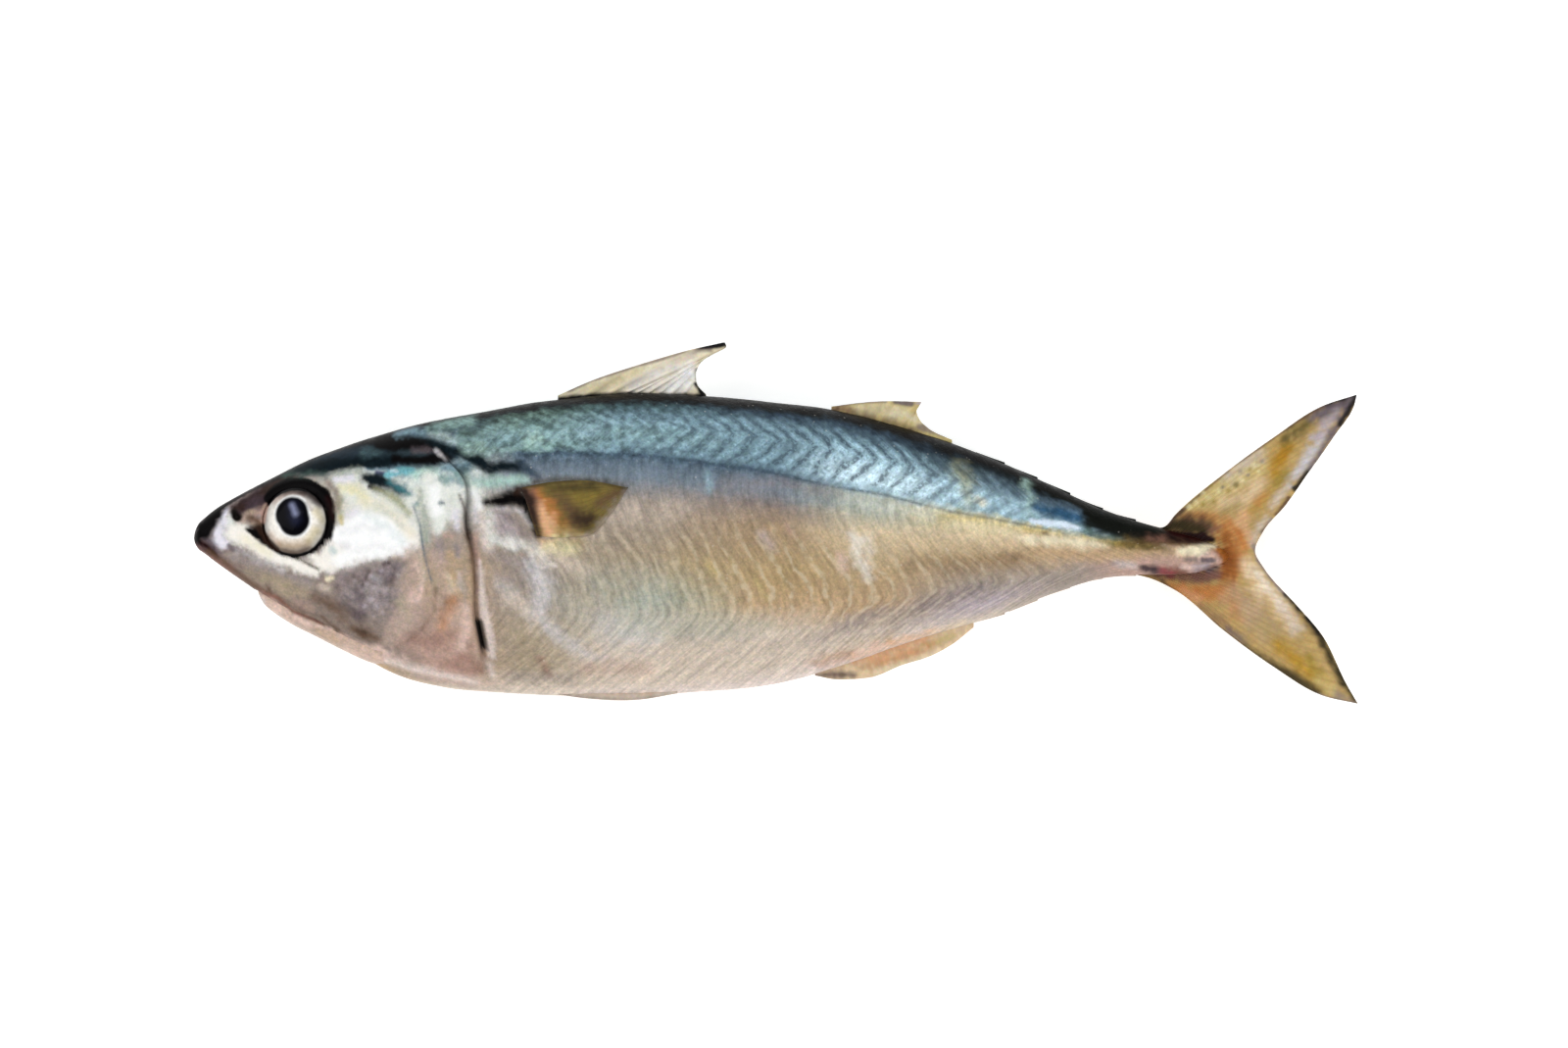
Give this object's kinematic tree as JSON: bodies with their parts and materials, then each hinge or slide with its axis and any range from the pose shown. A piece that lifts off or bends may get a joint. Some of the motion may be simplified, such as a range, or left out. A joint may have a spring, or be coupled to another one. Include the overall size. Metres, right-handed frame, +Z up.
{
  "type": "whole raw fish",
  "caption": "Whole raw short mackerel lying on its side, with its head, round eyes, gill covers, folded fins and forked tail.",
  "frame": {"origin": "On the table, under the middle of the fish's outline. The fish lies on its right side, and its left side faces up.", "axes": "+X runs from the snout to the tail, +Y from the belly to the back, and +Z up from the table through the left side"},
  "size_m": [0.2204, 0.0684, 0.0294],
  "materials": {
    "skin": "wet satin skin, blue green on the back and silvery beige below",
    "eye": "clear wet cornea over a dark pupil and a pale iris"
  },
  "bodies": {
    "root": {"fish": "skin", "eye_left": "eye", "eye_right": "eye"}
  },
  "joints": []
}
